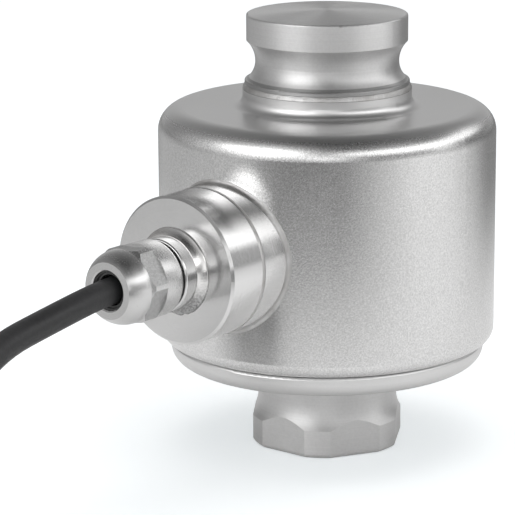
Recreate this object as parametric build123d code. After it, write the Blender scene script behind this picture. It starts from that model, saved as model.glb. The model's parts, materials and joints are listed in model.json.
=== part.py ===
from build123d import *
import math
import os

# Compression load cell: a one-piece load column in a welded stainless can, with a cable boss,
# a cable gland and its cable. Millimetres, +Z up, origin at the centre of the foot's flat
# underside, cable boss along -Y.

# Load column: hexagonal foot and neck
FOOT_CORNER_R = 19.5
FOOT_ACROSS_FLATS = 36.6
FOOT_LIP_R = 1.1
FOOT_HEX_H = 7.2
FLARE_H = 5.5
NECK_R = 17.7
NECK_ABOVE_SEAM = 4.6

# Load column: gauged section inside the can
GAUGED_R = 14.0
GAUGED_ACROSS_FLATS = 24.0
GAUGED_H = 28.0
GAUGED_BLEND_H = 8.0

# Load column: shank, shoulder and load button
SHANK_R = 19.6
SHOULDER_R = 20.7
SHOULDER_H = 1.05
SHOULDER_ROUND = 0.35
GROOVE_FOOT_R = 20.15
WAIST_R = 18.0
WAIST_H = 4.55
BUTTON_FLARE_H = 5.0
BUTTON_R = 20.2
BUTTON_EDGE = 0.5
BUTTON_LIP = 0.25
BUTTON_H = 6.85
CROWN_RISE = 0.95

# Can with its collar, above the weld seam of the base cover
SEAM_Z = 27.4
CAN_R = 42.5
CAN_WALL = 1.35
CAN_H = 59.75
CAN_SHOULDER_R = 6.05
CAN_HEM_R = 3.3
CAN_HEM_W = 5.9
COLLAR_GAP = 0.3
COLLAR_H = 4.35
COLLAR_ROOT_R = 2.6
COLLAR_BEAD_H = 1.3
COLLAR_BEAD_BULGE = 0.2

# Base cover
COVER_RIM_SET_IN = 2.6
COVER_DEPTH = 5.6
COVER_EDGE_R = 4.0
COVER_LIP_R = 0.9
COVER_HUB_H = 6.5
COVER_HUB_ROOT_R = 1.5
NECK_GAP = 0.1
NECK_BEAD = 1.5
WELD_HOLLOW = 0.125

# Cable boss on the front of the can
BOSS_ABOVE_SEAM = 28.65
BOSS_R = 18.0
BOSS_WALL = 2.4
BOSS_TUBE_LENGTH = 5.5
BOSS_COVER_LENGTH = 11.6
BOSS_FACE_T = 3.2
BOSS_FACE_EDGE = 0.6
BOSS_SEAM_GROOVE = 0.6
BOSS_SEAM_PROUD = 0.12
SADDLE_BEAD = 1.1
SADDLE_ROOT = 1.2

# Feedthrough header in the boss
HEADER_SET_BACK = 1.1
HEADER_T = 2.0
HEADER_FIT = 0.05
PIN_COUNT = 6
PIN_START = 30.0
PIN_SET_IN = 9.1
PIN_R = 0.5
PIN_BACK = 3.0
PIN_PROUD = 0.8
PIN_BEAD_R = 1.5

# Signal board on the header
POST_COUNT = 3
POST_H = 4.6
POST_R = 2.0
POST_SET_IN = 3.0
BOARD_GAP = 1.0
BOARD_T = 1.6
BOARD_PIN_HOLE_R = 0.8
CHIP_COUNT = 3
CHIP_SET_IN = 4.8
CHIP_SIZE = 5.6
CHIP_H = 1.1
SCREW_R = 1.0
SCREW_CLEARANCE = 0.1
SCREW_HEAD_R = 1.8
SCREW_HEAD_H = 1.2
SCREW_REACH = 4.0
SIGNAL_LEAD_SHARE = 0.25

# Bridge board round the column's neck
SPACER_COUNT = 3
SPACER_H = 9.8
SPACER_R = 2.6
RING_BOARD_INNER_R = 21.5
RING_BOARD_OUTER_R = 33.5
RING_BOARD_T = 1.6
RESISTOR_COUNT = 4
RESISTOR_START = 45.0
RESISTOR_LENGTH = 5.0
RESISTOR_W = 2.4
RESISTOR_H = 1.2

# Strain gauges, their solder terminals and the wires inside the can
GAUGE_W = 5.0
GAUGE_H = 9.0
GAUGE_T = 0.2
GAUGE_PITCH = 6.6
TERMINAL_W = 7.0
TERMINAL_H = 3.0
TERMINAL_T = 0.5
TERMINAL_DROP = 7.5
WIRE_R = 0.45
WIRE_BEND_R = 3.0
GAUGE_WIRE_SET_IN = 1.9
BRIDGE_WIRE_SET_IN = 2.5

# Cable gland body and its weld to the boss
GLAND_COLLAR_R = 8.9
GLAND_COLLAR_H = 6.0
GLAND_COLLAR_EDGE = 0.5
GLAND_SPIGOT_R = 8.0
GLAND_SPIGOT_PROUD = 1.0
GLAND_GROOVE_R = 6.5
GLAND_GROOVE_W = 1.6
GLAND_THREAD_R = 7.0
GLAND_THREAD_REACH = 9.5
GLAND_SOCKET_WALL = 1.1
GLAND_SOCKET_DEPTH = 8.0
GLAND_BEAD_W = 1.8
GLAND_BEAD_H = 2.4
THREAD_GAP = 0.05

# Gland cap nut
NUT_GAP = 0.9
NUT_LENGTH = 16.9
NUT_R = 9.2
NUT_CORNER_R = 9.5
NUT_ACROSS_FLATS = 17.0
NUT_BACK_ROUND = 1.1
NUT_FLAT_START = 6.2
NUT_CHAMFER_H = 1.0
NUT_CHAMFER_W = 0.75
NUT_TURN = 4.0
NUT_DOME_H = 5.4
NUT_DOME_STEP = 0.25
NUT_FACE_R = 6.75
NUT_FACE_ROUND = 0.6
NUT_HOLE_R = 4.75
NUT_HOLE_EDGE = 0.3
NUT_THREAD_DEPTH = 10.5
NUT_CONE_H = 3.2

# Gland cage and seal
CAGE_FIT = 0.05
CAGE_WALL = 0.9
CAGE_FLOOR = 2.0
CAGE_BASE_H = 4.5
CAGE_LENGTH = 10.4
CAGE_SLOTS = 8
CAGE_SLOT_W = 1.2
SEAL_FIT = 0.07
SEAL_LENGTH = 12.6
SEAL_NECK_H = 2.9
SEAL_MOUTH = 0.5
SEAL_RIDGE_W = 0.35
SEAL_RIDGE_H = 0.5

# Cable: the length held in the gland
CABLE_R = 3.25
CABLE_END_GAP = 3.6
CABLE_BORE_GAP = 0.3

# Free cable's route: sideways, distance from the gland, share of the drop to the coil's top
CABLE_ROUTE = [
    (0.0, 0.0, 0.0),
    (0.0, 8.0, 0.0),
    (0.0, 27.0, 0.146),
    (1.0, 45.0, 0.27),
    (7.2, 62.5, 0.56),
    (15.2, 78.5, 0.86),
    (20.0, 94.0, 1.0),
    (20.0, 109.0, 1.0),
]

# Cable: the neat coil of the spare length, on the floor
TURN_PITCH = 6.6
TURNS_WIDE = 4
COIL_LAYERS = 5
COIL_MID_R = 39.0
COIL_TOP_TURNS = 3
COIL_TOP_ARC = 300.0
COIL_ROUND = 2.5
COIL_TAIL = 28.0
TIE_COUNT = 3
TIE_START = 90.0
TIE_W = 4.0
TIE_T = 1.0
TIE_HEAD = 6.0

# Cable: bare conductors at its far end
BOOT_LENGTH = 10.0
BOOT_TIP_R = 2.7
CORE_COUNT = 6
CORE_CIRCLE_R = 1.75
CORE_R = 0.65
CORE_LENGTH = 20.0
CORE_FAN = 2.2
CORE_LEAN = 2.5
CORE_BEND_R = 6.0
FERRULE_R = 0.9
FERRULE_LENGTH = 7.0

# Levels along the column
foot_top = FOOT_HEX_H + FLARE_H
neck_top = SEAM_Z + NECK_ABOVE_SEAM
gauged_bottom = neck_top + GAUGED_BLEND_H
gauged_top = gauged_bottom + GAUGED_H
gauge_z = (gauged_bottom + gauged_top) / 2
can_top = SEAM_Z + CAN_H
collar_top = can_top + COLLAR_H
shoulder_bottom = collar_top + COLLAR_BEAD_H
shoulder_top = shoulder_bottom + SHOULDER_H
waist_z = shoulder_top + WAIST_H
button_bottom = waist_z + BUTTON_FLARE_H
button_top = button_bottom + BUTTON_H
cover_bottom = SEAM_Z - COVER_DEPTH
ring_board_z = cover_bottom + CAN_WALL + SPACER_H
collar_r = SHANK_R + COLLAR_GAP + CAN_WALL

# Circles on which the wires meet the bridge board
gauge_wire_r = RING_BOARD_INNER_R + GAUGE_WIRE_SET_IN
lower_wire_r = RING_BOARD_OUTER_R - BRIDGE_WIRE_SET_IN
upper_wire_r = (gauge_wire_r + lower_wire_r) / 2

# Distances from the column's axis along the boss
boss_z = SEAM_Z + BOSS_ABOVE_SEAM
boss_seam = CAN_R + BOSS_TUBE_LENGTH
boss_face = boss_seam + BOSS_COVER_LENGTH
boss_bore_r = BOSS_R - BOSS_WALL
header_back = CAN_R + HEADER_SET_BACK
header_front = header_back + HEADER_T
board_back = header_front + POST_H
board_front = board_back + BOARD_T
board_r = boss_bore_r - BOARD_GAP
pin_circle_r = boss_bore_r - PIN_SET_IN
post_circle_r = board_r - POST_SET_IN
chip_circle_r = board_r - CHIP_SET_IN
collar_front = boss_face + GLAND_COLLAR_H
nut_back = collar_front + NUT_GAP
nut_face = nut_back + NUT_LENGTH
thread_end = nut_back + GLAND_THREAD_REACH
socket_back = thread_end - GLAND_SOCKET_DEPTH
socket_r = GLAND_THREAD_R - GLAND_SOCKET_WALL
cage_r = socket_r - CAGE_FIT
seal_r = cage_r - CAGE_WALL - CAGE_FIT
cable_back = boss_face - CABLE_END_GAP
cable_start = thread_end

# The coil lies on its ties, and the free cable comes in at the height of its top layer
coil_half_width = TURN_PITCH * (TURNS_WIDE - 1) / 2
coil_inner_r = COIL_MID_R - coil_half_width - CABLE_R
coil_outer_r = COIL_MID_R + coil_half_width + CABLE_R
coil_top = TIE_T + TURN_PITCH * (COIL_LAYERS - 1) + 2 * CABLE_R
entry_r = COIL_MID_R - coil_half_width + TURN_PITCH * (COIL_TOP_TURNS - 1)
entry_z = TIE_T + CABLE_R + TURN_PITCH * COIL_LAYERS
coil_x = CABLE_ROUTE[-1][0] - entry_r
coil_y = -cable_start - CABLE_ROUTE[-1][1]

# The boss's pieces are drawn along +Z from the column's axis and laid along -Y
BOSS = Location((0, 0, boss_z), (90, 0, 0))


def section(*lines):
    """Face in the XZ plane inside lines given as (radius, height)."""
    outline = lines[0]
    for line in lines[1:]:
        outline = outline + line
    return Plane.XZ * make_face(outline)


def turned(*lines):
    """Solid turned about Z from the lines round its half section."""
    return revolve(section(*lines), Axis.Z)


def ring(corners, rounds=None):
    """Turned ring or disc from the corners of its half section, each with its own round."""
    rounds = rounds or [0] * len(corners)
    return turned(FilletPolyline(*corners, radius=rounds, close=True))


def tube(outer, inner, bottom, top):
    """Plain turned tube, or a disc where the inner radius is 0."""
    return ring([(inner, bottom), (outer, bottom), (outer, top), (inner, top)])


def wire(points, radius, bends):
    """Round wire along straight runs joined by tangent bends."""
    path = FilletPolyline(*points, radius=bends)
    return sweep(Plane(path @ 0, z_dir=path % 0) * Circle(radius), path=path)


def around(shape, count, start=0.0):
    """Copies of a shape spaced evenly about Z."""
    return [Rot(0, 0, start + 360 * i / count) * shape for i in range(count)]


def group(shapes):
    """Separate solids kept together as one node."""
    return Compound(children=[solid for shape in shapes for solid in shape.solids()])


def hexagon_prism(across_flats, bottom, top):
    """Six-sided bar about Z with two flats square to Y."""
    outline = RegularPolygon(across_flats / 2, 6, major_radius=False)
    return Pos(0, 0, bottom) * extrude(outline, top - bottom)


def load_column():
    """Hexagonal foot, gauged section and load button, turned and milled in one piece."""
    lip_r = BUTTON_R - BUTTON_LIP
    edge_z = button_top - BUTTON_EDGE
    crown = (0, button_top + CROWN_RISE)
    column = turned(
        Polyline(crown, (0, 0), (FOOT_CORNER_R, 0), (FOOT_CORNER_R, FOOT_HEX_H)),
        TangentArc((NECK_R, foot_top), (FOOT_CORNER_R, FOOT_HEX_H), tangent=(0, -1)),
        Line((NECK_R, foot_top), (NECK_R, neck_top)),
        TangentArc((GAUGED_R, gauged_bottom), (NECK_R, neck_top), tangent=(0, -1)),
        Line((GAUGED_R, gauged_bottom), (GAUGED_R, gauged_top)),
        TangentArc((GAUGED_R, gauged_top), (SHANK_R, gauged_top + GAUGED_BLEND_H), tangent=(0, 1)),
        Line((SHANK_R, gauged_top + GAUGED_BLEND_H), (SHANK_R, shoulder_bottom)),
        FilletPolyline(
            (SHANK_R, shoulder_bottom),
            (SHOULDER_R, shoulder_bottom),
            (SHOULDER_R, shoulder_top),
            (GROOVE_FOOT_R, shoulder_top),
            radius=[0, SHOULDER_ROUND],
        ),
        TangentArc((WAIST_R, waist_z), (GROOVE_FOOT_R, shoulder_top), tangent=(0, -1)),
        TangentArc((WAIST_R, waist_z), (lip_r, button_bottom), tangent=(0, 1)),
        Polyline((lip_r, button_bottom), (BUTTON_R, button_bottom + BUTTON_LIP), (BUTTON_R, edge_z)),
        TangentArc((BUTTON_R, edge_z), (BUTTON_R - BUTTON_EDGE, button_top), tangent=(0, 1)),
        TangentArc(crown, (BUTTON_R - BUTTON_EDGE, button_top), tangent=(1, 0)),
    )
    blank = tube(2 * FOOT_CORNER_R, 0, 0, foot_top)
    column = column - (blank - hexagon_prism(FOOT_ACROSS_FLATS, 0, foot_top))
    column = fillet(column.edges().group_by(Axis.Z)[0], FOOT_LIP_R)
    blank = tube(2 * GAUGED_R, 0, gauged_bottom, gauged_top)
    bar = Pos(0, 0, gauge_z) * Box(GAUGED_ACROSS_FLATS, GAUGED_ACROSS_FLATS, GAUGED_H)
    return column - (blank - bar)


def can_outline(inset):
    """Outline of the can from its hem to its collar's rim, set in by a thickness."""
    wall_r = CAN_R - inset
    return FilletPolyline(
        (CAN_R - CAN_HEM_W, SEAM_Z + inset),
        (wall_r, SEAM_Z + inset),
        (wall_r, can_top - inset),
        (collar_r - inset, can_top - inset),
        (collar_r - inset, collar_top),
        radius=[CAN_HEM_R - inset, CAN_SHOULDER_R - inset, COLLAR_ROOT_R + inset],
    )


def housing_can():
    """Deep-drawn can with a turned-in hem, an upstanding collar and a hole behind the boss."""
    outer = can_outline(0)
    inner = can_outline(CAN_WALL)
    shell = turned(outer, Line(outer @ 1, inner @ 1), inner, Line(inner @ 0, outer @ 0))
    return shell - BOSS * tube(boss_bore_r, 0, 0, CAN_R + CAN_WALL)


def base_cover():
    """Shallow pan that closes the can, with a hub drawn up round the column's neck."""
    rim_r = CAN_R - COVER_RIM_SET_IN
    hub_r = NECK_R + NECK_GAP
    floor = cover_bottom + CAN_WALL
    return ring(
        [
            (hub_r, cover_bottom),
            (rim_r, cover_bottom),
            (rim_r, SEAM_Z),
            (rim_r - CAN_WALL, SEAM_Z),
            (rim_r - CAN_WALL, floor),
            (hub_r + CAN_WALL, floor),
            (hub_r + CAN_WALL, cover_bottom + COVER_HUB_H),
            (hub_r, cover_bottom + COVER_HUB_H),
        ],
        [0, COVER_EDGE_R, COVER_LIP_R, 0, COVER_EDGE_R - CAN_WALL, COVER_HUB_ROOT_R, 0, 0],
    )


def bead(low, high, corner, bulge):
    """Turned weld bead with a bulging face from low to high and its root at a corner."""
    middle = ((low[0] + high[0]) / 2 + bulge, (low[1] + high[1]) / 2)
    return turned(ThreePointArc(low, middle, high), Polyline(high, *corner, low))


def collar_weld():
    """Weld bead between the top of the can's collar and the column's shoulder."""
    corner = [(SHANK_R, shoulder_bottom), (SHANK_R, collar_top)]
    return bead((collar_r, collar_top), (SHOULDER_R, shoulder_bottom), corner, COLLAR_BEAD_BULGE)


def neck_weld():
    """Fillet weld between the base cover and the column's neck."""
    toe = (NECK_R + NECK_BEAD, cover_bottom)
    hollow = -NECK_BEAD * WELD_HOLLOW
    return bead((NECK_R, cover_bottom - NECK_BEAD), toe, [(NECK_R, cover_bottom)], hollow)


def boss_tube():
    """Stub tube whose end is saddled to the can's wall, with half of the seam's groove."""
    body = ring(
        [
            (boss_bore_r, 0),
            (BOSS_R, 0),
            (BOSS_R, boss_seam - BOSS_SEAM_GROOVE),
            (BOSS_R - BOSS_SEAM_GROOVE, boss_seam),
            (boss_bore_r, boss_seam),
        ]
    )
    return BOSS * body - Cylinder(CAN_R, 2 * can_top) - saddle_root()


def saddle_root():
    """Edge of the stub tube's wall, next to the can, that the saddle weld fills."""
    edge = BOSS * tube(BOSS_R, BOSS_R - SADDLE_ROOT, 0, boss_seam)
    return edge & Cylinder(CAN_R + SADDLE_ROOT, 2 * can_top)


def saddle_weld():
    """Weld that follows the saddle where the boss meets the can, with a hollow face."""
    wall = Pos(0, 0, boss_z) * Cylinder(CAN_R, 3 * BOSS_R)
    stub = BOSS * tube(BOSS_R, 0, 0, boss_seam)
    joined = wall + stub
    saddle = [
        edge
        for edge in joined.edges()
        if edge.geom_type not in (GeomType.CIRCLE, GeomType.LINE) and edge.center().Y < 0
    ]
    return fillet(saddle, SADDLE_BEAD) - wall - (stub - saddle_root())


def boss_cover():
    """Cup that closes the boss, with half of the seam's groove and the gland's hole."""
    hole_r = GLAND_SPIGOT_R + THREAD_GAP
    inside = boss_face - BOSS_FACE_T
    return BOSS * ring(
        [
            (BOSS_R - BOSS_SEAM_GROOVE, boss_seam),
            (BOSS_R, boss_seam + BOSS_SEAM_GROOVE),
            (BOSS_R, boss_face - BOSS_FACE_EDGE),
            (BOSS_R - BOSS_FACE_EDGE, boss_face),
            (hole_r, boss_face),
            (hole_r, inside),
            (boss_bore_r, inside),
            (boss_bore_r, boss_seam),
        ]
    )


def boss_seam_weld():
    """Weld bead that fills the groove between the boss tube and its cover."""
    low = (BOSS_R, boss_seam - BOSS_SEAM_GROOVE)
    high = (BOSS_R, boss_seam + BOSS_SEAM_GROOVE)
    root = [(BOSS_R - BOSS_SEAM_GROOVE, boss_seam)]
    return BOSS * bead(low, high, root, BOSS_SEAM_PROUD)


def pin_places():
    """Places of the feedthrough pins, drawn round Z."""
    return around(Pos(pin_circle_r, 0, 0), PIN_COUNT, PIN_START)


def feedthrough_plate():
    """Header disc in the boss's bore, bored for the glass beads."""
    plate = tube(boss_bore_r - HEADER_FIT, 0, header_back, header_front)
    bores = [place * tube(PIN_BEAD_R, 0, header_back, header_front) for place in pin_places()]
    return BOSS * (plate - bores)


def feedthrough_glass():
    """Glass beads that carry and insulate the pins."""
    glass = tube(PIN_BEAD_R, PIN_R, header_back, header_front)
    return group([BOSS * place * glass for place in pin_places()])


def feedthrough_pins():
    """Pins from the can's side through the signal board."""
    pin = tube(PIN_R, 0, header_back - PIN_BACK, board_front + PIN_PROUD)
    return group([BOSS * place * pin for place in pin_places()])


def board_post(bottom, top, circle_r, outer):
    """Threaded post for one board screw."""
    return Pos(0, circle_r, 0) * tube(outer, SCREW_R + SCREW_CLEARANCE, bottom, top)


def board_screw(seat, circle_r):
    """Cheese-head screw down into its post, with a slot."""
    shank = tube(SCREW_R, 0, seat - SCREW_REACH, seat)
    head = tube(SCREW_HEAD_R, 0, seat, seat + SCREW_HEAD_H)
    slot = Pos(0, 0, seat + SCREW_HEAD_H) * Box(2 * SCREW_HEAD_R, SCREW_HEAD_R / 4, SCREW_HEAD_H)
    return Pos(0, circle_r, 0) * (shank + head - slot)


def signal_posts():
    """Posts that carry the signal board on the header."""
    post = board_post(header_front, board_back, post_circle_r, POST_R)
    return group([BOSS * copy for copy in around(post, POST_COUNT)])


def signal_screws():
    """Screws that hold the signal board."""
    screw = board_screw(board_front, post_circle_r)
    return group([BOSS * copy for copy in around(screw, POST_COUNT)])


def signal_board():
    """Round circuit board in the boss, drilled for the pins and the screws."""
    board = tube(board_r, 0, board_back, board_front)
    pin_holes = [place * tube(BOARD_PIN_HOLE_R, 0, board_back, board_front) for place in pin_places()]
    screw_hole = Pos(0, post_circle_r, 0) * tube(SCREW_R + SCREW_CLEARANCE, 0, board_back, board_front)
    return BOSS * (board - pin_holes - around(screw_hole, POST_COUNT))


def signal_chips():
    """Converter, reference and interface chips on the signal board."""
    chip = Pos(chip_circle_r, 0, board_front + CHIP_H / 2) * Box(CHIP_SIZE, CHIP_SIZE, CHIP_H)
    return group([BOSS * copy for copy in around(chip, CHIP_COUNT)])


def signal_wires():
    """Cable cores from the stripped jacket to the signal board."""
    start = (CORE_CIRCLE_R, 0, cable_back)
    out_r = pin_circle_r - PIN_BEAD_R - CORE_R
    lead = (cable_back - board_front) * SIGNAL_LEAD_SHARE
    points = [
        start,
        (CORE_CIRCLE_R, 0, cable_back - lead),
        (out_r, 0, board_front + lead),
        (out_r, 0, board_front),
    ]
    core = wire(points, WIRE_R, [WIRE_R, WIRE_R])
    return group([BOSS * copy for copy in around(core, CORE_COUNT)])


def spacer_circle_r():
    """Radius of the bridge board's screws, in the middle of the board."""
    return (RING_BOARD_INNER_R + RING_BOARD_OUTER_R) / 2


def board_spacers():
    """Spacers that stand on the base cover under the bridge board."""
    spacer = board_post(ring_board_z - SPACER_H, ring_board_z, spacer_circle_r(), SPACER_R)
    return group(around(spacer, SPACER_COUNT))


def spacer_screws():
    """Screws that hold the bridge board."""
    return group(around(board_screw(ring_board_z + RING_BOARD_T, spacer_circle_r()), SPACER_COUNT))


def bridge_board():
    """Ring-shaped circuit board round the column's neck."""
    board = tube(RING_BOARD_OUTER_R, RING_BOARD_INNER_R, ring_board_z, ring_board_z + RING_BOARD_T)
    hole = tube(SCREW_R + SCREW_CLEARANCE, 0, ring_board_z, ring_board_z + RING_BOARD_T)
    return board - around(Pos(0, spacer_circle_r(), 0) * hole, SPACER_COUNT)


def trim_resistors():
    """Resistors on the bridge board that balance the bridge."""
    height = ring_board_z + RING_BOARD_T + RESISTOR_H / 2
    resistor = Pos(spacer_circle_r(), 0, height) * Box(RESISTOR_W, RESISTOR_LENGTH, RESISTOR_H)
    return group(around(resistor, RESISTOR_COUNT, RESISTOR_START))


def strain_gauges():
    """Foil strain gauges, two on each flat of the gauged section."""
    place_y = -(GAUGED_ACROSS_FLATS + GAUGE_T) / 2
    gauge = Box(GAUGE_W, GAUGE_T, GAUGE_H)
    pair = [Pos(side * GAUGE_PITCH / 2, place_y, gauge_z) * gauge for side in (-1, 1)]
    return group([copy for gauge in pair for copy in around(gauge, 4)])


def terminal_z():
    """Height of the solder terminals, below the gauges."""
    return gauge_z - TERMINAL_DROP


def gauge_terminals():
    """Solder terminals under the gauges, one on each flat."""
    place_y = -(GAUGED_ACROSS_FLATS + TERMINAL_T) / 2
    terminal = Pos(0, place_y, terminal_z()) * Box(TERMINAL_W, TERMINAL_T, TERMINAL_H)
    return group(around(terminal, 4))


def gauge_wires():
    """Wires from the solder terminals down to the bridge board."""
    start_y = -GAUGED_ACROSS_FLATS / 2 - TERMINAL_T
    board_top = ring_board_z + RING_BOARD_T
    points = [
        (0, start_y, terminal_z()),
        (0, -gauge_wire_r, terminal_z()),
        (0, -gauge_wire_r, board_top),
    ]
    return group(around(wire(points, WIRE_R, [WIRE_BEND_R]), 4))


def bridge_wires():
    """Wires from the bridge board up to the feedthrough pins."""
    board_top = ring_board_z + RING_BOARD_T
    pin_end_y = PIN_BACK - header_back
    wires = []
    for place in pin_places():
        pin = (BOSS * place).position
        drop_y = -upper_wire_r if pin.Z > boss_z else -lower_wire_r
        points = [(pin.X, pin_end_y, pin.Z), (pin.X, drop_y, pin.Z), (pin.X, drop_y, board_top)]
        wires.append(wire(points, WIRE_R, [WIRE_BEND_R]))
    return group(wires)


def gland_body():
    """Welded-in gland body: spigot, round collar, thread groove, thread and cage socket."""
    spigot_back = boss_face - BOSS_FACE_T - GLAND_SPIGOT_PROUD
    bore_r = CABLE_R + CABLE_BORE_GAP
    groove_end = collar_front + GLAND_GROOVE_W
    body = ring(
        [
            (bore_r, spigot_back),
            (GLAND_SPIGOT_R, spigot_back),
            (GLAND_SPIGOT_R, boss_face),
            (GLAND_COLLAR_R, boss_face),
            (GLAND_COLLAR_R, collar_front),
            (GLAND_GROOVE_R, collar_front),
            (GLAND_GROOVE_R, groove_end),
            (GLAND_THREAD_R, groove_end),
            (GLAND_THREAD_R, thread_end),
            (socket_r, thread_end),
            (socket_r, socket_back),
            (bore_r, socket_back),
        ],
        [0, 0, 0, 0, GLAND_COLLAR_EDGE, 0, 0, 0, 0, 0, 0, 0],
    )
    return BOSS * body


def gland_weld():
    """Weld ring round the gland body's collar on the boss's face."""
    low = (GLAND_COLLAR_R + GLAND_BEAD_W, boss_face)
    high = (GLAND_COLLAR_R, boss_face + GLAND_BEAD_H)
    return BOSS * bead(low, high, [(GLAND_COLLAR_R, boss_face)], -GLAND_BEAD_W * WELD_HOLLOW)


def gland_nut():
    """Domed cap nut with six wrench flats and chamfered corners next to its dome."""
    dome_start = nut_face - NUT_DOME_H
    dome_r = NUT_R - NUT_DOME_STEP
    thread_r = GLAND_THREAD_R + THREAD_GAP
    cone_start = nut_back + NUT_THREAD_DEPTH
    face_edge = (NUT_FACE_R, nut_face)
    flat_start = nut_back + NUT_FLAT_START
    outside = FilletPolyline(
        (thread_r, nut_back),
        (NUT_R, nut_back),
        (NUT_R, flat_start),
        (NUT_CORNER_R, flat_start),
        (NUT_CORNER_R, dome_start - NUT_CHAMFER_H),
        (NUT_CORNER_R - NUT_CHAMFER_W, dome_start),
        (dome_r, dome_start),
        radius=[NUT_BACK_ROUND, 0, 0, 0, 0],
    )
    dome = TangentArc((dome_r, dome_start), face_edge, tangent=(0, 1))
    inside = Polyline(
        face_edge,
        (NUT_HOLE_R + NUT_HOLE_EDGE, nut_face),
        (NUT_HOLE_R, nut_face - NUT_HOLE_EDGE),
        (NUT_HOLE_R, cone_start + NUT_CONE_H),
        (thread_r, cone_start),
        (thread_r, nut_back),
    )
    body = turned(outside, dome, inside)
    blank = tube(2 * NUT_R, 0, flat_start, dome_start)
    flats = Rot(0, 0, NUT_TURN) * hexagon_prism(NUT_ACROSS_FLATS, flat_start, dome_start)
    return BOSS * (body - (blank - flats))


def gland_cage():
    """Clamping cage: a floor and a ring that stand in the body, and slit fingers."""
    inner = cage_r - CAGE_WALL
    floor_r = CABLE_R + CABLE_BORE_GAP
    end = socket_back + CAGE_LENGTH
    cage = ring(
        [
            (floor_r, socket_back),
            (cage_r, socket_back),
            (cage_r, end),
            (inner, end),
            (inner, socket_back + CAGE_FLOOR),
            (floor_r, socket_back + CAGE_FLOOR),
        ]
    )
    slot_h = CAGE_LENGTH - CAGE_BASE_H
    slot = Pos(cage_r, 0, end - slot_h / 2) * Box(cage_r, CAGE_SLOT_W, slot_h)
    return BOSS * (cage - around(slot, CAGE_SLOTS, 180 / CAGE_SLOTS))


def gland_seal():
    """Rubber seal squeezed onto the cable, with ridges in the nut's mouth."""
    back = socket_back + CAGE_FLOOR
    front = back + SEAL_LENGTH
    neck = front - SEAL_NECK_H
    neck_r = NUT_HOLE_R - SEAL_FIT
    mouth_r = CABLE_R + SEAL_MOUTH
    ridge_r = neck_r - SEAL_RIDGE_W
    return BOSS * ring(
        [
            (CABLE_R, back),
            (seal_r, back),
            (seal_r, neck - SEAL_FIT),
            (neck_r, neck),
            (neck_r, front),
            (ridge_r, front),
            (ridge_r - SEAL_RIDGE_W / 2, front - SEAL_RIDGE_H),
            (mouth_r, front - SEAL_RIDGE_H),
            (mouth_r, front - SEAL_NECK_H),
            (CABLE_R, cable_start),
        ]
    )


def cable_inner_end():
    """Length of cable held in the gland, from its stripped end to the free cable."""
    return BOSS * tube(CABLE_R, 0, cable_back, cable_start)


def route_points():
    """Points of the free cable's route, from the gland to the coil's top layer."""
    drop = boss_z - entry_z
    return [(x, -cable_start - out, boss_z - share * drop) for x, out, share in CABLE_ROUTE]


def route_radii():
    """Bend radii of the free cable, each as large as its two runs allow."""
    points = [Vector(*point) for point in route_points()]
    radii = []
    for before, corner, after in zip(points, points[1:], points[2:]):
        run_in = corner - before
        run_out = after - corner
        half_turn = math.radians(run_in.get_angle(run_out)) / 2
        radii.append(0.45 * min(run_in.length, run_out.length) / math.tan(half_turn))
    return radii


def cable_run():
    """Free cable from the gland's seal to its coil."""
    return wire(route_points(), CABLE_R, route_radii())


def cable_coil():
    """Outer shape of the put-away coil, with its part top layer and its straight tail."""
    low = [(coil_inner_r, TIE_T), (coil_outer_r, TIE_T), (coil_outer_r, coil_top)]
    top_layer_r = entry_r + CABLE_R
    full = FilletPolyline(*low, (coil_inner_r, coil_top), radius=COIL_ROUND, close=True)
    raised = FilletPolyline(
        *low,
        (top_layer_r, coil_top),
        (top_layer_r, entry_z + CABLE_R),
        (coil_inner_r, entry_z + CABLE_R),
        radius=[COIL_ROUND, COIL_ROUND, COIL_ROUND, 0, COIL_ROUND, COIL_ROUND],
        close=True,
    )
    under = revolve(section(full), Axis.Z, 360 - COIL_TOP_ARC)
    bundle = under + revolve(section(raised), Axis.Z, -COIL_TOP_ARC)
    tail_place = Pos(CABLE_R - coil_outer_r, 0, TIE_T + CABLE_R) * Rot(-90, 0, 0)
    return Pos(coil_x, coil_y, 0) * (bundle + tail_place * tube(CABLE_R, 0, 0, COIL_TAIL))


def coil_ties():
    """Cable ties drawn round the coil's turns, each with its head in the coil's middle."""
    outline = FilletPolyline(
        (coil_inner_r, TIE_T),
        (coil_outer_r, TIE_T),
        (coil_outer_r, coil_top),
        (entry_r + CABLE_R, entry_z + CABLE_R),
        (coil_inner_r, entry_z + CABLE_R),
        radius=COIL_ROUND,
        close=True,
    )
    inside = Plane.XZ * make_face(outline)
    strap = extrude(offset(inside, TIE_T) - inside, TIE_W / 2, both=True)
    head = Pos(coil_inner_r - TIE_HEAD / 2, 0, coil_top / 2) * Box(TIE_HEAD, TIE_HEAD, TIE_HEAD)
    tie = strap + fillet(head.edges().filter_by(Axis.Z), TIE_T)
    ties = [Pos(coil_x, coil_y, 0) * copy for copy in around(tie, TIE_COUNT, TIE_START)]
    coil = cable_coil()
    return group([copy - coil for copy in ties])


def far_end():
    """Place of the cable's far end, with +Z along the cable and +Y down to the floor."""
    tail_x = coil_x - coil_outer_r + CABLE_R
    return Location((tail_x, coil_y + COIL_TAIL, TIE_T + CABLE_R), (-90, 0, 0))


def end_boot():
    """Heat-shrunk boot that tapers from the jacket to the conductors."""
    return far_end() * ring([(0, 0), (CABLE_R, 0), (BOOT_TIP_R, BOOT_LENGTH), (0, BOOT_LENGTH)])


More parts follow.
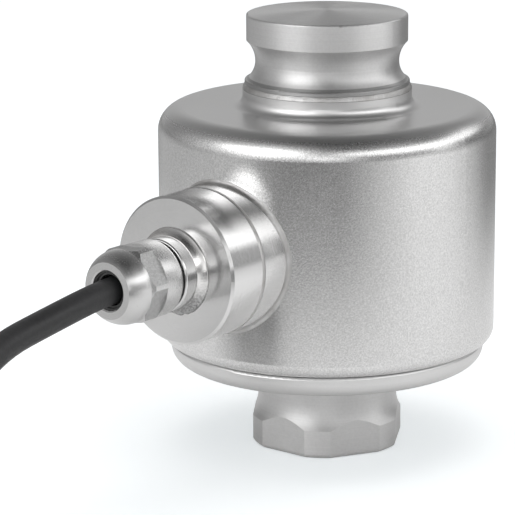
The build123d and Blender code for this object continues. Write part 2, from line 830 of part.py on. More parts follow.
def core_path(index):
    """Points of one bare conductor, from the boot down to the floor in a fan without crossings."""
    angle = math.radians(360 * (index + 0.5) / CORE_COUNT)
    start_x = CORE_CIRCLE_R * math.cos(angle)
    start_y = CORE_CIRCLE_R * math.sin(angle)
    lower_half = 2 * index < CORE_COUNT
    place = CORE_COUNT - 2 - 2 * index if lower_half else 2 * index + 1 - CORE_COUNT
    end_x = CORE_FAN * (place - (CORE_COUNT - 1) / 2) + CORE_LEAN
    end_y = TIE_T + CABLE_R - FERRULE_R
    length = BOOT_LENGTH + CORE_LENGTH
    return [
        (start_x, start_y, BOOT_LENGTH),
        (start_x, start_y, BOOT_LENGTH + CORE_LENGTH / 4),
        (end_x, end_y, BOOT_LENGTH + 3 * CORE_LENGTH / 4),
        (end_x, end_y, length),
    ]


def lead_cores():
    """Insulated conductors at the cable's far end."""
    cores = [wire(core_path(i), CORE_R, [CORE_BEND_R, CORE_BEND_R]) for i in range(CORE_COUNT)]
    return group([far_end() * core for core in cores])


def lead_ferrules():
    """Crimped ferrules on the conductors' ends."""
    ferrules = []
    for i in range(CORE_COUNT):
        x, y, z = core_path(i)[-1]
        ferrules.append(far_end() * Pos(x, y, 0) * tube(FERRULE_R, 0, z, z + FERRULE_LENGTH))
    return group(ferrules)


MAKERS = [
    load_column,
    housing_can,
    base_cover,
    collar_weld,
    neck_weld,
    boss_tube,
    saddle_weld,
    boss_cover,
    boss_seam_weld,
    feedthrough_plate,
    feedthrough_glass,
    feedthrough_pins,
    signal_posts,
    signal_screws,
    signal_board,
    signal_chips,
    signal_wires,
    board_spacers,
    spacer_screws,
    bridge_board,
    trim_resistors,
    strain_gauges,
    gauge_terminals,
    gauge_wires,
    bridge_wires,
    gland_body,
    gland_weld,
    gland_nut,
    gland_cage,
    gland_seal,
    cable_inner_end,
    cable_run,
    cable_coil,
    coil_ties,
    end_boot,
    lead_cores,
    lead_ferrules,
]

os.makedirs("parts", exist_ok=True)
for maker in MAKERS:
    export_step(maker(), f"parts/{maker.__name__}.step")
print("cable bend radii", [round(radius, 1) for radius in route_radii()])
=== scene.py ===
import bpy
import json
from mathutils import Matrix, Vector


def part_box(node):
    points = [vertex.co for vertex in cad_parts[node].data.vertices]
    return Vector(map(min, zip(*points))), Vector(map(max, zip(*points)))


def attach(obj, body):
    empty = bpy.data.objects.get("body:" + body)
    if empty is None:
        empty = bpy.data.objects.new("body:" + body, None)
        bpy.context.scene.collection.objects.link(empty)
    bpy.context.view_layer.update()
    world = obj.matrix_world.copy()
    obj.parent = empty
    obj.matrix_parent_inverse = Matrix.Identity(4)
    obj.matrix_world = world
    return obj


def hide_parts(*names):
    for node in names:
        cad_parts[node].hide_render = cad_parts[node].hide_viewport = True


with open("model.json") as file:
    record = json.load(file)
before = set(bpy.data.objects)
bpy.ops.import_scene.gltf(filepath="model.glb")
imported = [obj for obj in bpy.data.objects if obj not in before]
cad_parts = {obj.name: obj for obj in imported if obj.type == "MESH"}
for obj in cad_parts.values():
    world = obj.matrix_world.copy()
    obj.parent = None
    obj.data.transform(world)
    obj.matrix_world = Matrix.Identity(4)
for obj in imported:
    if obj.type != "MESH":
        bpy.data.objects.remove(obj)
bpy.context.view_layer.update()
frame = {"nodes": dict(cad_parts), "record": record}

import json
import math

import bpy
from mathutils import Vector, noise

NODES = frame["nodes"]
MM = 0.001

# Camera at the photograph's angle. Lengths are in metres and angles in degrees; _PX is a length in the
# photograph's pixels and _MM one in millimetres. Azimuths start at the cable boss and grow toward +X
FRAME_PX = 515
FOCAL_PX = 2722
PRINCIPAL_X_PX = 327.2
SENSOR_MM = 36.0
CAMERA_AZIMUTH = 37.4
CAMERA_PITCH = 14.05
CAMERA_DISTANCE = 0.672
CAMERA_Z = 0.21565
CLIP_START = 0.01
CLIP_END = 20.0


def round_the_column(azimuth, distance):
    """(x, y) at an azimuth and a distance from the column's axis."""
    angle = math.radians(azimuth)
    return distance * math.sin(angle), -distance * math.cos(angle)


def direction(azimuth, elevation=0.0):
    """Unit vector at an azimuth, counted from the camera's, and an elevation."""
    rise = math.radians(elevation)
    return Vector((*round_the_column(CAMERA_AZIMUTH + azimuth, math.cos(rise)), math.sin(rise)))


cam_data = bpy.data.cameras.new("camera")
cam_data.sensor_width = SENSOR_MM
cam_data.lens = SENSOR_MM * FOCAL_PX / FRAME_PX
cam_data.shift_x = -(PRINCIPAL_X_PX - FRAME_PX / 2) / FRAME_PX
cam_data.clip_start = CLIP_START
cam_data.clip_end = CLIP_END
camera = bpy.data.objects.new("camera", cam_data)
camera.location = (*round_the_column(CAMERA_AZIMUTH, CAMERA_DISTANCE), CAMERA_Z)
camera.rotation_euler = (math.radians(90 - CAMERA_PITCH), 0.0, math.radians(CAMERA_AZIMUTH))
bpy.context.collection.objects.link(camera)
bpy.context.scene.camera = camera

# Cable: the free cable's route of the solid model, then the coil and its tail. The coil is wound from a part
# layer on top down to the floor
CABLE_R = 0.00325
ROUTE = [
    (0.0, -0.076, 0.05605),
    (0.0, -0.084, 0.05605),
    (0.0, -0.103, 0.053305),
    (0.001, -0.121, 0.050974),
    (0.0072, -0.1385, 0.045522),
    (0.0152, -0.1545, 0.039882),
    (0.020, -0.170, 0.03725),
    (0.020, -0.185, 0.03725),
]
TIE_T = 0.001
TURN_PITCH = 0.0066
TURNS_WIDE = 4
FULL_LAYERS = 5
ENTRY_TURN = 2
COIL_MID_R = 0.039
TURN_R = [COIL_MID_R + TURN_PITCH * (i - (TURNS_WIDE - 1) / 2) for i in range(TURNS_WIDE)]
COIL_X = ROUTE[-1][0] - TURN_R[ENTRY_TURN]
COIL_Y = ROUTE[-1][1]
TAIL = 0.028
TAIL_SHARES = (0.3, 0.65, 1.0)

# One crossing from turn to turn or down a layer takes this share of a turn
CROSSING = 1 / 5

# The spline runs inside the points that it has round a circle, so they are put out by this factor
PER_TURN = 24
PUT_OUT = 1 / (0.75 + 0.25 * math.cos(2 * math.pi / PER_TURN))

# The cable's curve: its order, its steps between two points and the steps of its section's bevel
SPLINE_ORDER = 3
ALONG_STEPS = 6
SECTION_STEPS = 5

# The coil ends this share of a turn round from where the cable comes in
END_TURN = 0.5

# Two places along the coil that are this close, in turns, are one
CLOSE = 1e-9


def ease(share):
    return share * share * (3 - 2 * share)


def layer_stretches(radii, layer, first):
    """One layer of the coil: its turns in the order of the radii, the first this long, then the way down."""
    made = [(first, radii[0], layer, radii[0], layer)]
    for here, there in zip(radii, radii[1:]):
        rest = 1 - CROSSING if there != radii[-1] else 1 - 2 * CROSSING
        made.append((CROSSING, here, layer, there, layer))
        made.append((rest, there, layer, there, layer))
    made.append((CROSSING, radii[-1], layer, radii[-1], layer - 1))
    return made


def coil_stretches():
    """Stretches of the coil as (turns, radius and layer at the start, radius and layer at the end).
    The lowest layer stops where its last turn starts."""
    made = layer_stretches(TURN_R[ENTRY_TURN::-1], FULL_LAYERS, 1 - CROSSING)
    radii = list(TURN_R)
    for layer in range(FULL_LAYERS - 1, -1, -1):
        made += layer_stretches(radii, layer, 1 - 2 * CROSSING)
        radii.reverse()
    return made[:-2]


def coil_points():
    """Points of the coil's turns, down to where the last turn meets the tail, and that turn's radius."""
    stretches = coil_stretches()
    turned = sum(stretch[0] for stretch in stretches)
    last_r = stretches[-1][3]
    stretches.append(((END_TURN - turned) % 1.0, last_r, 0, last_r, 0))
    total = sum(stretch[0] for stretch in stretches)
    count = round(total * PER_TURN)
    points = []
    for n in range(1, count):
        at = total * n / count
        for length, r_a, layer_a, r_b, layer_b in stretches:
            if at <= length + CLOSE:
                break
            at -= length
        share = ease(min(1.0, max(0.0, at / length)))
        r = PUT_OUT * (r_a + (r_b - r_a) * share)
        layer = layer_a + (layer_b - layer_a) * share
        angle = -2 * math.pi * total * n / count
        place = (COIL_X + r * math.cos(angle), COIL_Y + r * math.sin(angle))
        points.append((*place, TIE_T + CABLE_R + TURN_PITCH * layer))
    return points, last_r


turns, tail_r = coil_points()
tail = [(COIL_X - tail_r, COIL_Y + TAIL * share, TIE_T + CABLE_R) for share in TAIL_SHARES]
cable_points = ROUTE + turns + tail

curve = bpy.data.curves.new("signal_cable", "CURVE")
curve.dimensions = "3D"
spline = curve.splines.new("NURBS")
spline.points.add(len(cable_points) - 1)
for point, place in zip(spline.points, cable_points):
    point.co = (*place, 1.0)
    point.radius = CABLE_R
spline.order_u = SPLINE_ORDER
spline.use_endpoint_u = True
spline.resolution_u = ALONG_STEPS
curve.resolution_u = ALONG_STEPS
curve.bevel_depth = 1.0
curve.bevel_resolution = SECTION_STEPS
curve.use_fill_caps = True
cable = bpy.data.objects.new("signal_cable", curve)
bpy.context.collection.objects.link(cable)
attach(cable, "root")
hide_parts("cable_run", "cable_coil")
coil_pieces = [NODES[name] for name in ("coil_ties", "end_boot", "lead_cores", "lead_ferrules")]

# The steel doesn't mirror the coil, which is put away outside the view
for obj in [cable, *coil_pieces]:
    obj.visible_glossy = False


class Graph:
    """The nodes of a material or of the world, and short ways to add to them."""

    SOCKETS = {
        "color": "Base Color",
        "rough": "Roughness",
        "normal": "Normal",
        "metal": "Metallic",
        "specular": "Specular IOR Level",
        "anisotropic": "Anisotropic",
        "rotation": "Anisotropic Rotation",
        "tangent": "Tangent",
        "glow": "Emission Strength",
        "glow_color": "Emission Color",
    }

    # Where most values of a noise lie
    NOISE_RANGE = (0.3, 0.7)

    def __init__(self, owner):
        self.owner = owner
        owner.use_nodes = True
        self.tree = owner.node_tree
        self.tree.nodes.clear()

    def node(self, kind, **values):
        made = self.tree.nodes.new(kind)
        for key, value in values.items():
            setattr(made, key, value)
        return made

    def put(self, socket, value):
        if hasattr(value, "is_output"):
            self.tree.links.new(value, socket)
        else:
            socket.default_value = value

    def math(self, operation, a, b=0.0):
        made = self.node("ShaderNodeMath", operation=operation)
        self.put(made.inputs[0], a)
        self.put(made.inputs[1], b)
        return made.outputs[0]

    def place(self):
        return self.node("ShaderNodeTexCoord").outputs["Object"]

    def split(self, vector):
        made = self.node("ShaderNodeSeparateXYZ")
        self.put(made.inputs[0], vector)
        return made.outputs

    def across(self, axis):
        """The two distances of a point from an axis, and its distance along it."""
        x, y, z = self.split(self.place())
        if axis[0] == "Z":
            return x, y, z
        return x, self.math("SUBTRACT", z, axis[1]), y

    def radius(self, a, b):
        return self.math("SQRT", self.math("ADD", self.math("MULTIPLY", a, a), self.math("MULTIPLY", b, b)))

    def lathe(self, axis):
        """(radius, distance along the axis, 0) of each point, so that a texture runs round the axis."""
        a, b, along = self.across(axis)
        joined = self.node("ShaderNodeCombineXYZ")
        self.put(joined.inputs[0], self.radius(a, b))
        self.put(joined.inputs[1], along)
        return joined.outputs[0]

    def toward(self, vector, azimuth, elevation=0.0):
        """Length of a vector along a direction: for a unit vector, the cosine of the angle between them."""
        made = self.node("ShaderNodeVectorMath", operation="DOT_PRODUCT")
        self.put(made.inputs[0], vector)
        self.put(made.inputs[1], direction(azimuth, elevation))
        return made.outputs["Value"]

    def noise(self, vector, scale, detail=2.0, rough=0.5):
        made = self.node("ShaderNodeTexNoise")
        self.put(made.inputs["Vector"], vector)
        made.inputs["Scale"].default_value = scale
        made.inputs["Detail"].default_value = detail
        made.inputs["Roughness"].default_value = rough
        return made.outputs["Fac"]

    def ramp(self, value, start, end, low=0.0, high=1.0, smooth=False):
        """A value from start to end, mapped to low to high and held beyond them."""
        made = self.node("ShaderNodeMapRange")
        if smooth:
            made.interpolation_type = "SMOOTHSTEP"
        for socket, given in zip(made.inputs, (value, start, end, low, high)):
            self.put(socket, given)
        return made.outputs[0]

    def spread(self, value, low, high):
        """A noise value spread over a range."""
        return self.ramp(value, *self.NOISE_RANGE, low, high)

    def tint(self, value, dark, light):
        made = self.node("ShaderNodeMix", data_type="RGBA")
        self.put(made.inputs[0], value)
        for socket, color in ((made.inputs[6], dark), (made.inputs[7], light)):
            self.put(socket, color if hasattr(color, "is_output") else (*color, 1.0))
        return made.outputs[2]

    def scale(self, color, value):
        made = self.node("ShaderNodeVectorMath", operation="SCALE")
        self.put(made.inputs[0], color)
        self.put(made.inputs["Scale"], value)
        return made.outputs[0]

    def blend(self, value, a, b):
        made = self.node("ShaderNodeMix", data_type="FLOAT")
        for socket, given in zip((made.inputs[0], made.inputs[2], made.inputs[3]), (value, a, b)):
            self.put(socket, given)
        return made.outputs[0]

    def bump(self, height, strength, depth, normal=None):
        made = self.node("ShaderNodeBump")
        self.put(made.inputs["Height"], height)
        made.inputs["Strength"].default_value = strength
        made.inputs["Distance"].default_value = depth
        if normal is not None:
            self.put(made.inputs["Normal"], normal)
        return made.outputs[0]

    def set(self, **values):
        for key, value in values.items():
            self.put(self.shader.inputs[self.SOCKETS[key]], value)
        return self

    def given(self, key):
        """What is linked to one of the shader's sockets."""
        return self.shader.inputs[self.SOCKETS[key]].links[0].from_socket


def surface(name):
    """The graph of a new material with one surface shader."""
    g = Graph(bpy.data.materials.new(name))
    g.name = name
    g.shader = g.node("ShaderNodeBsdfPrincipled")
    g.put(g.node("ShaderNodeOutputMaterial").inputs["Surface"], g.shader.outputs[0])
    return g


def grey(value, warm=0.0):
    return (value * (1 + warm), value, value * (1 - warm))


# Axes that the steel is turned about, as (direction, height)
BOSS_Z = ROUTE[0][2]
COLUMN_AXIS = ("Z", 0.0)
BOSS_AXIS = ("Y", BOSS_Z)

# Steel: scales of its turned lines, its patches and its sand, and the depths of its lines and its grain
LINE_SCALE = 2400.0
BROAD_LINE_SCALE = 270.0
BROAD_LINE_SHARE = 0.5
PATCH_SCALE = 45.0
SAND_SCALE = 2600.0
LINE_DEPTH = 0.04 * MM
GRAIN_DEPTH = 0.05 * MM

# Its tone and gloss follow the patches by one share, and lines and grain by another. Dark and light parts are
# a little warm. The rotation of the stretched highlights is a share of a full turn
PATCH_SHARE = 0.4
FINE_SHARE = 0.3
DARK_WARMTH = 0.004
LIGHT_WARMTH = 0.002
TURNED_ROTATION = 0.25

# A band of painted shade ends over BAND_SOFT. Sand fades over SAND_FADE, and the bare steel above it is
# duller
BAND_SOFT = 0.15 * MM
SAND_FADE = 3 * MM
BARE_DULL = 0.10


def steel(name, tone, rough, axis=COLUMN_AXIS, lines=0.3, grain=0.15, grain_scale=1500.0, vary=0.05,
          turned=0.0, patches=0.05, sand=0.0, sand_to=None, bands=()):
    """Turned or satin stainless steel: fine lines round an axis, a grain, and patches of tone and gloss.

    turned: how far the highlights stretch
    sand: share of the tone in a blasted surface's fine grain
    sand_to: where sand and grain fade along the axis, and the surface gets a little duller
    bands: parts along the axis darkened as painted shade, each as (lowest, highest, share of the tone)
    """
    g = surface(name)
    lathe = g.lathe(axis)
    along = g.across(axis)[2]
    place = g.place()
    fine = g.noise(lathe, LINE_SCALE, detail=3.0, rough=0.6)
    broad = g.noise(lathe, BROAD_LINE_SCALE)
    speck = g.noise(place, grain_scale, rough=0.6)
    patch = g.noise(place, PATCH_SCALE, detail=3.0, rough=0.55)
    if sand:
        blasted = g.ramp(along, sand_to, sand_to + SAND_FADE, 1.0, 0.0, smooth=True)
        speck = g.blend(blasted, 0.5, speck)
    normal = g.bump(g.math("ADD", fine, g.math("MULTIPLY", broad, BROAD_LINE_SHARE)), lines, LINE_DEPTH)
    normal = g.bump(speck, grain, GRAIN_DEPTH, normal)
    mixed = g.math("ADD", g.math("MULTIPLY", patch, PATCH_SHARE),
                   g.math("MULTIPLY", g.math("ADD", fine, speck), FINE_SHARE))
    color = g.tint(g.spread(mixed, 0.0, 1.0), grey(tone * (1 - patches), DARK_WARMTH),
                   grey(tone * (1 + patches), LIGHT_WARMTH))
    gloss = g.spread(mixed, rough - vary, rough + vary)
    if sand:
        dots = g.spread(g.noise(place, SAND_SCALE, detail=1.0), 1 - sand, 1 + sand)
        color = g.scale(color, g.blend(blasted, 1.0, dots))
        gloss = g.math("ADD", gloss, g.math("MULTIPLY", g.math("SUBTRACT", 1.0, blasted), BARE_DULL))
    # Each band darkens the tone as painted shade
    for low, high, share in bands:
        inside = g.math("MULTIPLY", g.ramp(along, low - BAND_SOFT, low, smooth=True),
                        g.ramp(along, high + BAND_SOFT, high, smooth=True))
        color = g.scale(color, g.blend(inside, 1.0, share))
    g.set(metal=1.0, color=color, rough=gloss, normal=normal)
    if turned:
        tangent = g.node("ShaderNodeTangent", direction_type="RADIAL", axis=axis[0])
        g.set(anisotropic=turned, rotation=TURNED_ROTATION, tangent=tangent.outputs[0])
    return g


# Weld beads: scale, strength and depth of ripples and of pits, then the heat tint's scale, and its darkest
# and lightest part as (share of the tone, warmth)
RIPPLE_SCALE = 700.0
RIPPLE_BUMP = 0.8
RIPPLE_DEPTH = 0.2 * MM
PIT_SCALE = 2600.0
PIT_BUMP = 0.5
PIT_DEPTH = 0.08 * MM
HEAT_SCALE = 180.0
HEAT_DARK = (0.8, 0.02)
HEAT_LIGHT = (1.1, 0.005)

# Lowest side of the boss's bead, darker and coarser: how far below the boss's axis it is full, its scale, its
# darkest and lightest shares of the tone, the roughness that it adds, and what is left of pits and ripples
# away from it
LOW_SIDE_H = 7 * MM
LOW_SIDE_SCALE = 1900.0
LOW_SIDE_DARK = 0.22
LOW_SIDE_LIGHT = 0.75
LOW_SIDE_ROUGH = 0.25
CALM_PITS = 0.2
CALM_RIPPLES = 0.1


def weld(name, tone, rough, dark_below=False):
    """Weld bead: ripples, pits and a faint heat tint, with its roughness as (least, most). The bead on the
    boss is smooth above, and coarser and darker towards its lowest side."""
    g = surface(name)
    place = g.place()
    ripples = g.noise(place, RIPPLE_SCALE, detail=3.0, rough=0.6)
    pits = g.noise(place, PIT_SCALE, rough=0.6)
    heat = g.noise(place, HEAT_SCALE)
    dark, light = (grey(tone * share, warmth) for share, warmth in (HEAT_DARK, HEAT_LIGHT))
    color = g.tint(g.spread(heat, 0.0, 1.0), dark, light)
    gloss = g.spread(ripples, *rough)
    if dark_below:
        low = g.ramp(g.split(place)[2], BOSS_Z, BOSS_Z - LOW_SIDE_H, smooth=True)
        grains = g.spread(g.noise(place, LOW_SIDE_SCALE, rough=0.7), 0.0, 1.0)
        low_side_tone = g.tint(grains, grey(tone * LOW_SIDE_DARK), grey(tone * LOW_SIDE_LIGHT))
        color = g.tint(low, color, low_side_tone)
        gloss = g.math("ADD", gloss, g.math("MULTIPLY", low, LOW_SIDE_ROUGH))
        pits = g.math("MULTIPLY", pits, g.math("ADD", low, CALM_PITS))
        ripples = g.math("MULTIPLY", ripples, g.math("ADD", low, CALM_RIPPLES))
    normal = g.bump(pits, PIT_BUMP, PIT_DEPTH, g.bump(ripples, RIPPLE_BUMP, RIPPLE_DEPTH))
    return g.set(metal=1.0, color=color, rough=gloss, normal=normal)


# Plastic: its patches' scale, its grain's depth, and its darkest and lightest tone as shares of the colour
PLASTIC_PATCH_SCALE = 60.0
PLASTIC_DEPTH = 0.1 * MM
PLASTIC_DARK = 0.85
PLASTIC_LIGHT = 1.5


def plastic(name, color, rough, grain_scale=900.0, grain=0.2, vary=0.06):
    """Moulded or extruded plastic and rubber: a fine grain and a little change of tone."""
    g = surface(name)
    place = g.place()
    speck = g.noise(place, grain_scale, rough=0.6)
    patch = g.noise(place, PLASTIC_PATCH_SCALE)
    mixed = g.math("ADD", g.math("MULTIPLY", patch, 0.5), g.math("MULTIPLY", speck, 0.5))
    dark, light = (tuple(part * share for part in color) for share in (PLASTIC_DARK, PLASTIC_LIGHT))
    tone = g.tint(g.spread(mixed, 0.0, 1.0), dark, light)
    gloss = g.spread(patch, rough - vary, rough + vary)
    return g.set(metal=0.0, color=tone, rough=gloss, normal=g.bump(speck, grain, PLASTIC_DEPTH))


# The cap nut's milled flats: the lengths of the dome before them and of the round part behind them, and their
# turn about the nut with its slack. Then their blasted grain: tones, scale, strength, depth, added roughness
NUT_DOME_L = 0.0054
NUT_ROUND_L = 0.0062
NUT_FLAT_TURN = 34.0
NUT_FLAT_EVERY = 60.0
NUT_FLAT_SLACK = 3.0
NUT_GRAIN_DARK = 0.40
NUT_GRAIN_LIGHT = 0.66
NUT_GRAIN_SCALE = 2200.0
NUT_GRAIN_BUMP = 0.8
NUT_GRAIN_DEPTH = 0.2 * MM
NUT_GRAIN_ROUGH = 0.18


def nut_flats(g):
    """1 on the cap nut's milled flats, 0 elsewhere."""
    low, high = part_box("gland_nut")
    y = g.split(g.place())[1]
    band = g.math("MULTIPLY", g.math("GREATER_THAN", y, low[1] + NUT_DOME_L),
                  g.math("LESS_THAN", y, high[1] - NUT_ROUND_L))
    normal = g.split(g.node("ShaderNodeNewGeometry").outputs["True Normal"])
    angle = g.math("SUBTRACT", g.math("ARCTAN2", normal[2], normal[0]), math.radians(NUT_FLAT_TURN))
    off = g.math("PINGPONG", angle, math.radians(NUT_FLAT_EVERY / 2))
    return g.math("MULTIPLY", band, g.math("LESS_THAN", off, math.radians(NUT_FLAT_SLACK)))


def nut_steel():
    """Satin steel, with a coarse blasted grain on the cap nut's flats."""
    g = steel("nut_steel", tone=0.66, rough=0.26, axis=BOSS_AXIS, grain=0.05, patches=0.03, vary=0.03)
    flats = nut_flats(g)
    coarse = g.noise(g.place(), NUT_GRAIN_SCALE, detail=3.0, rough=0.7)
    grains = g.tint(g.spread(coarse, 0.0, 1.0), grey(NUT_GRAIN_DARK), grey(NUT_GRAIN_LIGHT))
    color = g.tint(flats, g.given("color"), grains)
    gloss = g.math("ADD", g.given("rough"), g.math("MULTIPLY", flats, NUT_GRAIN_ROUGH))
    relief = g.math("MULTIPLY", coarse, flats)
    normal = g.bump(relief, NUT_GRAIN_BUMP, NUT_GRAIN_DEPTH, g.given("normal"))
    return g.set(color=color, rough=gloss, normal=normal)


# Painted shade in the steel's tone: the foot and the neck under the base cover are darker, and so are both
# sides of the can's seam and the shoulder in the crease over the collar's weld. The can is blasted up to
# CAN_SAND_Z
COVER_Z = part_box("base_cover")[0][2]
SEAM_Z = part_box("housing_can")[0][2]
BEAD_TOP_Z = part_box("collar_weld")[1][2]
CAN_SAND_Z = 0.084
FOOT_SHADE = (0.0, COVER_Z, 0.86)
SHOULDER_SHADE = (BEAD_TOP_Z, BEAD_TOP_Z + 1.5 * MM, 0.6)
HEM_SHADE = (SEAM_Z, SEAM_Z + 0.1 * MM, 0.75)
COVER_RIM_SHADE = (SEAM_Z - 0.2 * MM, SEAM_Z, 0.7)

GRAPHS = [
    steel("column_steel", tone=0.72, rough=0.40, lines=0.65, grain=0.25, turned=0.8, patches=0.10,
          bands=[FOOT_SHADE, SHOULDER_SHADE]),
    steel("can_steel", tone=0.71, rough=0.23, lines=0.02, grain=0.3, grain_scale=2600.0, sand=0.13,
          sand_to=CAN_SAND_Z, bands=[HEM_SHADE]),
    steel("cover_steel", tone=0.69, rough=0.36, lines=0.15, grain=0.12, grain_scale=2300.0,
          bands=[COVER_RIM_SHADE]),
    steel("boss_steel", tone=0.76, rough=0.17, axis=BOSS_AXIS, lines=0.2, grain=0.14),
    steel("gland_steel", tone=0.72, rough=0.17, axis=BOSS_AXIS, lines=0.2, grain=0.1),
    nut_steel(),
    steel("header_steel", tone=0.55, rough=0.35, axis=BOSS_AXIS),
    steel("screw_steel", tone=0.58, rough=0.30),
    steel("ferrule_tin", tone=0.70, rough=0.30, grain=0.3),
    steel("gold_pins", tone=0.60, rough=0.25),
    steel("brass_posts", tone=0.60, rough=0.30),
    weld("weld_steel", tone=0.54, rough=(0.36, 0.52)),
    weld("dark_below_weld", tone=0.86, rough=(0.12, 0.24), dark_below=True),
    plastic("cable_jacket", (0.019, 0.019, 0.020), rough=0.48, grain=0.6),
    plastic("seal_rubber", (0.06, 0.06, 0.06), rough=0.22, grain_scale=1200.0, grain=0.9),
    plastic("boot_rubber", (0.016, 0.016, 0.016), rough=0.35, grain_scale=700.0),
    plastic("cage_plastic", (0.12, 0.12, 0.12), rough=0.5),
    plastic("tie_plastic", (0.60, 0.60, 0.57), rough=0.4),
    plastic("black_chips", (0.02, 0.02, 0.02), rough=0.5),
    plastic("green_board", (0.01, 0.13, 0.05), rough=0.35, grain_scale=400.0),
    plastic("wire_insulation", (0.45, 0.45, 0.43), rough=0.45),
    plastic("gauge_foil", (0.45, 0.22, 0.05), rough=0.3, grain_scale=1500.0),
    plastic("header_glass", (0.03, 0.10, 0.11), rough=0.12, grain_scale=300.0, grain=0.1),
]
MATERIALS = {g.name: g.owner for g in GRAPHS}

for entry in frame["record"]["subparts"]:
    obj = NODES[entry["node"]]
    finish = "nut_steel" if entry["node"] == "gland_nut" else entry["material_slot"]
    for holder in obj.material_slots:
        holder.material = MATERIALS[finish]
    for polygon in obj.data.polygons:
        polygon.use_smooth = True
curve.materials.append(MATERIALS["cable_jacket"])

# Mesh of a weld bead: rows across it, and steps along each of its scales. A scale lags behind at the bead's
# crest, and its step is least at the toes
BEAD_ROWS = 8
SCALE_STEPS = 8
SCALE_LAG = 0.8
TOE_STEP = 0.2

# A ragged bead: how strong and how large its roughness is, how large its toe's wandering is, the third
# coordinate that the wandering takes from the noise, and how narrow the lowest side is
ROUGH_SHARE = 0.8
ROUGH_SIZE = 0.8 * MM
WANDER_SIZE = 1.5 * MM
WANDER_AT = 3.0
UNDER_POWER = 4


def bead_section(turn, scales, low, high, bulge, depth, ragged):
    """Points across a bead at a turn round its axis, from its low toe to its high one, as (radius, distance
    along the axis)."""
    angle = 2 * math.pi * turn
    around = (math.cos(angle), math.sin(angle))
    under = (0.5 - 0.5 * math.sin(angle)) ** UNDER_POWER if ragged else 1.0
    lean = Vector((high[1] - low[1], low[0] - high[0])).normalized()
    toe = noise.noise(Vector((*around, WANDER_AT)) * (low[0] / WANDER_SIZE))
    points = []
    for j in range(BEAD_ROWS + 1):
        share = j / BEAD_ROWS
        arch = math.sin(math.pi * share)
        phase = (turn * scales + SCALE_LAG * arch) % 1.0
        rough = noise.noise(Vector((*around, share)) * (low[0] / ROUGH_SIZE))
        lift = bulge * arch + depth * under * (arch + TOE_STEP) * (0.5 - phase + ROUGH_SHARE * rough)
        wander = ragged * under * (1 - share) * toe
        r = low[0] + (high[0] - low[0]) * share + lean[0] * lift + wander
        points.append((r, low[1] + (high[1] - low[1]) * share + max(lean[1] * lift, 0.0)))
    return points


def weld_ring(name, node, finish, axis, low, high, root, bulge, pitch, depth, ragged=0.0):
    """Rippled weld bead round an axis in place of its plain solid.

    low, high, root: its toes and its root, each as (radius, distance along the axis)
    bulge: how far its crest stands out of the line between the toes
    pitch, depth: length and height of its scales
    ragged: how far the low toe wanders. Where it is above 0 the bead is rough too, most at the lowest side
    """
    scales = round(2 * math.pi * low[0] / pitch)
    steps = scales * SCALE_STEPS
    upright = axis[0] == "Z"
    verts = []
    for i in range(steps):
        angle = 2 * math.pi * i / steps
        for r, along in [*bead_section(i / steps, scales, low, high, bulge, depth, ragged), root]:
            a, b = r * math.cos(angle), r * math.sin(angle)
            verts.append((a, b, along) if upright else (a, -along, axis[1] + b))
    width = BEAD_ROWS + 2
    faces = []
    for i in range(steps):
        here, there = i * width, (i + 1) % steps * width
        for j in range(width):
            k = (j + 1) % width
            face = (here + j, here + k, there + k, there + j)
            faces.append(face if upright else face[::-1])
    mesh = bpy.data.meshes.new(name)
    mesh.from_pydata(verts, [], faces)
    mesh.update()
    for polygon in mesh.polygons:
        polygon.use_smooth = True
    mesh.materials.append(MATERIALS[finish])
    ring = bpy.data.objects.new(name, mesh)
    bpy.context.collection.objects.link(ring)
    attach(ring, "root")
    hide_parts(node)


# Weld between the can's collar and the column's shoulder
COLLAR_R = 0.02125
SHOULDER_R = 0.0207
SHANK_R = 0.0196
bottom, top = (corner[2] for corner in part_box("collar_weld"))
weld_ring("collar_bead", "collar_weld", "weld_steel", COLUMN_AXIS,
          low=(COLLAR_R, bottom), high=(SHOULDER_R, top), root=(SHANK_R, top),
          bulge=0.06 * MM, pitch=0.7 * MM, depth=0.04 * MM)

# Weld round the gland body on the boss's face. Along the boss's axis, distances grow toward the gland
GLAND_COLLAR_R = 0.0089
GLAND_BEAD_R = 0.0107
front, face = (-corner[1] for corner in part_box("gland_weld"))
weld_ring("gland_bead", "gland_weld", "dark_below_weld", BOSS_AXIS,
          low=(GLAND_BEAD_R, face), high=(GLAND_COLLAR_R, front), root=(GLAND_COLLAR_R, face),
          bulge=-0.4 * MM, pitch=0.8 * MM, depth=0.12 * MM, ragged=0.5 * MM)

# Floor. The camera sees it white, apart from the object's shadow. All else sees a table that is pale near the
# object and darkens from TABLE_NEAR to TABLE_FAR, by TABLE_DARK and by what the sectors add. A sector is
# (azimuth from the camera's, cosines of the angle from it where it starts and where it is full, what it adds)
FLOOR_SIZE = 8.0
FLOOR_ROUGH = 0.8
FLOOR_SPECULAR = 0.1
FLOOR_SEEN = 0.80
FLOOR_GLOW = 0.42
FLOOR_GLOW_COLOR = (0.90, 0.97, 1.0, 1.0)
TABLE_PALE = 0.97
TABLE_NEAR = 0.105
TABLE_FAR = 0.36
TABLE_DARK = 0.42
TABLE_SECTORS = [
    (0, 0.45, 0.95, 0.38),
    (69, 0.42, 0.92, -0.42),
    (150, 0.3, 0.9, 0.3),
]

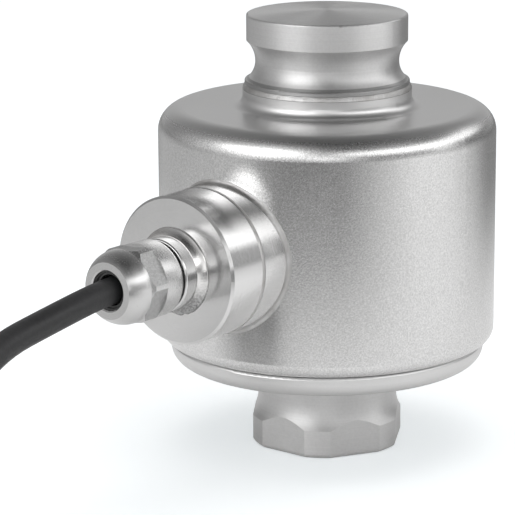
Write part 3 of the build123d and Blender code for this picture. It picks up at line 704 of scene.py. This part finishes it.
g = surface("floor_pale")
place = g.place()
x, y, z = g.split(place)
distance = g.math("MAXIMUM", g.radius(x, y), MM)
fall = TABLE_DARK
for azimuth, start, full, darker in TABLE_SECTORS:
    cosine = g.math("DIVIDE", g.toward(place, azimuth), distance)
    fall = g.math("ADD", g.ramp(cosine, start, full, 0.0, darker, smooth=True), fall)
dark = g.math("MULTIPLY", fall, g.ramp(distance, TABLE_NEAR, TABLE_FAR, smooth=True))
table = g.tint(dark, grey(TABLE_PALE), grey(0.0))
seen = g.node("ShaderNodeLightPath").outputs["Is Camera Ray"]
g.set(rough=FLOOR_ROUGH, specular=FLOOR_SPECULAR, color=g.tint(seen, table, grey(FLOOR_SEEN)),
      glow_color=FLOOR_GLOW_COLOR, glow=g.math("MULTIPLY", seen, FLOOR_GLOW))

bpy.ops.mesh.primitive_plane_add(size=FLOOR_SIZE)
floor = bpy.context.object
floor.name = "floor"
floor.data.materials.append(g.owner)

# Lights, with azimuths from the camera's. They face a point in the object's middle
LIGHT_CENTRE = Vector((0.0, 0.0, 0.06))
LIGHT_DISTANCE = 1.0


def soft_light(name, place, size, radiance):
    """Rectangular soft light, with the brightness of its face. Gloss shows the world alone."""
    data = bpy.data.lights.new(name, "AREA")
    data.shape = "RECTANGLE"
    data.size, data.size_y = size
    data.energy = radiance * math.pi * size[0] * size[1]
    obj = bpy.data.objects.new(name, data)
    obj.location = place
    obj.rotation_euler = (LIGHT_CENTRE - place).to_track_quat("-Z", "Y").to_euler()
    obj.visible_glossy = False
    bpy.context.collection.objects.link(obj)


soft_light("left_soft", LIGHT_CENTRE + LIGHT_DISTANCE * direction(-58, 22), size=(0.35, 0.85), radiance=1.6)
soft_light("right_soft", LIGHT_CENTRE + LIGHT_DISTANCE * direction(62, 24), size=(0.55, 0.8), radiance=1.5)
soft_light("top_soft", Vector((0.0, 0.1, 1.3)), size=(1.0, 1.0), radiance=1.6)

# World. Gloss shows a studio: lobes of light as (azimuth from the camera's, elevation, narrowness, strength)
# over a plain level, and a strip light. All other rays but the camera's see the room's plain level
ROOM_LEVEL = 0.75
SEEN_LEVEL = 1.0
STUDIO_LEVEL = 0.28
LOBES = [
    (58, 27, 12.0, 0.6),
    (86, 10, 40.0, 1.0),
    (-44, 22, 9.0, 2.1),
    (-85, 8, 6.0, 0.5),
    (0, -1, 18.0, 1.6),
    (180, 5, 8.0, 0.5),
    (0, 75, 4.0, -0.2),
]

# The strip light: its strength, the direction's z in its middle, and how far from there it is full and ends.
# It runs round the side of STRIP_AZIMUTH, from where the cosine of the angle from there is STRIP_BACK
STRIP_LEVEL = 1.6
STRIP_Z = 0.44
STRIP_FULL = 0.055
STRIP_END = 0.22
STRIP_AZIMUTH = 30
STRIP_BACK = -0.5

# The gap in the strip: its azimuth, the sines of the angle from it where it starts to close and is closed,
# and the share of the strip that is left in it
GAP_AZIMUTH = -6
GAP_CORE = 0.05
GAP_END = 0.44
GAP_SHARE = 0.05

world = bpy.data.worlds.new("studio")
bpy.context.scene.world = world
world.cycles.sampling_method = "NONE"
w = Graph(world)
ray = w.node("ShaderNodeTexCoord").outputs["Generated"]
studio = STUDIO_LEVEL
for azimuth, elevation, narrow, strength in LOBES:
    shape = w.math("POWER", w.math("MAXIMUM", w.toward(ray, azimuth, elevation), 0.0), narrow)
    studio = w.math("ADD", w.math("MULTIPLY", shape, strength), studio)
off_strip = w.math("ABSOLUTE", w.math("SUBTRACT", w.split(ray)[2], STRIP_Z))
off_gap = w.math("ABSOLUTE", w.toward(ray, GAP_AZIMUTH + 90))
strip = w.math("MULTIPLY", w.ramp(off_strip, STRIP_END, STRIP_FULL, smooth=True),
               w.ramp(w.toward(ray, STRIP_AZIMUTH), STRIP_BACK, 0.0, smooth=True))
strip = w.math("MULTIPLY", strip, w.ramp(off_gap, GAP_CORE, GAP_END, GAP_SHARE, 1.0, smooth=True))
studio = w.math("ADD", w.math("MULTIPLY", strip, STRIP_LEVEL), studio)
path = w.node("ShaderNodeLightPath")
level = w.blend(path.outputs["Is Glossy Ray"], ROOM_LEVEL, studio)
background = w.node("ShaderNodeBackground")
w.put(background.inputs["Strength"], w.blend(path.outputs["Is Camera Ray"], level, SEEN_LEVEL))
w.put(w.node("ShaderNodeOutputWorld").inputs[0], background.outputs[0])

bpy.context.scene.view_settings.view_transform = "Standard"
